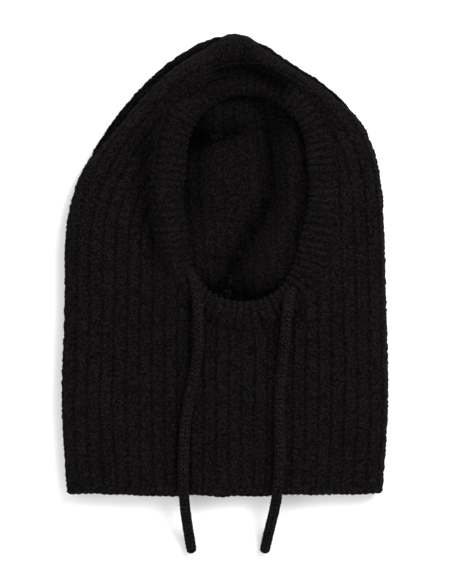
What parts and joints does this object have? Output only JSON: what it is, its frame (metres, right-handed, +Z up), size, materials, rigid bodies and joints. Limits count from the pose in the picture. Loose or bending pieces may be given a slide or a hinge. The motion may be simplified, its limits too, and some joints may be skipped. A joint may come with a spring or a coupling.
{
  "type": "balaclava",
  "caption": "Chunky ribbed knit hood balaclava with an open face, a folded ribbed face band and a knitted drawstring, lying flat on its back.",
  "frame": {"origin": "centre of the hood's outline on the floor it lies on, cords left out", "axes": "+Y from the hem to the peak, +X to the right of the open face as it looks up, +Z up, through the front of the face opening"},
  "size_m": [0.2698, 0.4319, 0.0426],
  "materials": {
    "hood_knit": "matte",
    "band_knit": "matte",
    "cord_knit": "matte",
    "hem_edge_yarn": "matte",
    "seam_yarn": "matte"
  },
  "bodies": {
    "hood": {"hood_back": "hood_knit", "bib": "hood_knit", "hood_side_left": "hood_knit", "hood_side_right": "hood_knit", "crown": "hood_knit", "hem_edge_back": "hem_edge_yarn", "hem_edge_front": "hem_edge_yarn", "crown_seam": "seam_yarn", "band_linking_seam": "seam_yarn", "face_band": "band_knit", "drawstring_in_casing": "cord_knit", "drawstring_left_neck": "cord_knit", "drawstring_right_neck": "cord_knit"},
    "left_cord_start": {"drawstring_left_start": "cord_knit"},
    "left_cord_end": {"drawstring_left_end": "cord_knit"},
    "right_cord_start": {"drawstring_right_start": "cord_knit"},
    "right_cord_end": {"drawstring_right_end": "cord_knit"}
  },
  "joints": [
    {"name": "left_cord_pull", "type": "slide", "parent": "hood", "child": "left_cord_start", "axis": [0.1492, -0.9888, 0], "range_m": [0, 0.035], "deforming": ["drawstring_left_neck"]},
    {"name": "left_cord_swing", "type": "hinge", "parent": "left_cord_start", "child": "left_cord_end", "pos_m": [-0.02254, -0.04179, 0.03825], "axis": [0, 0, 1], "range_deg": [-8, 5]},
    {"name": "right_cord_pull", "type": "slide", "parent": "hood", "child": "right_cord_start", "axis": [-0.1259, -0.992, 0], "range_m": [0, 0.035], "deforming": ["drawstring_right_neck"]},
    {"name": "right_cord_swing", "type": "hinge", "parent": "right_cord_start", "child": "right_cord_end", "pos_m": [0.05017, -0.04835, 0.0381], "axis": [0, 0, 1], "range_deg": [-5, 8]}
  ]
}
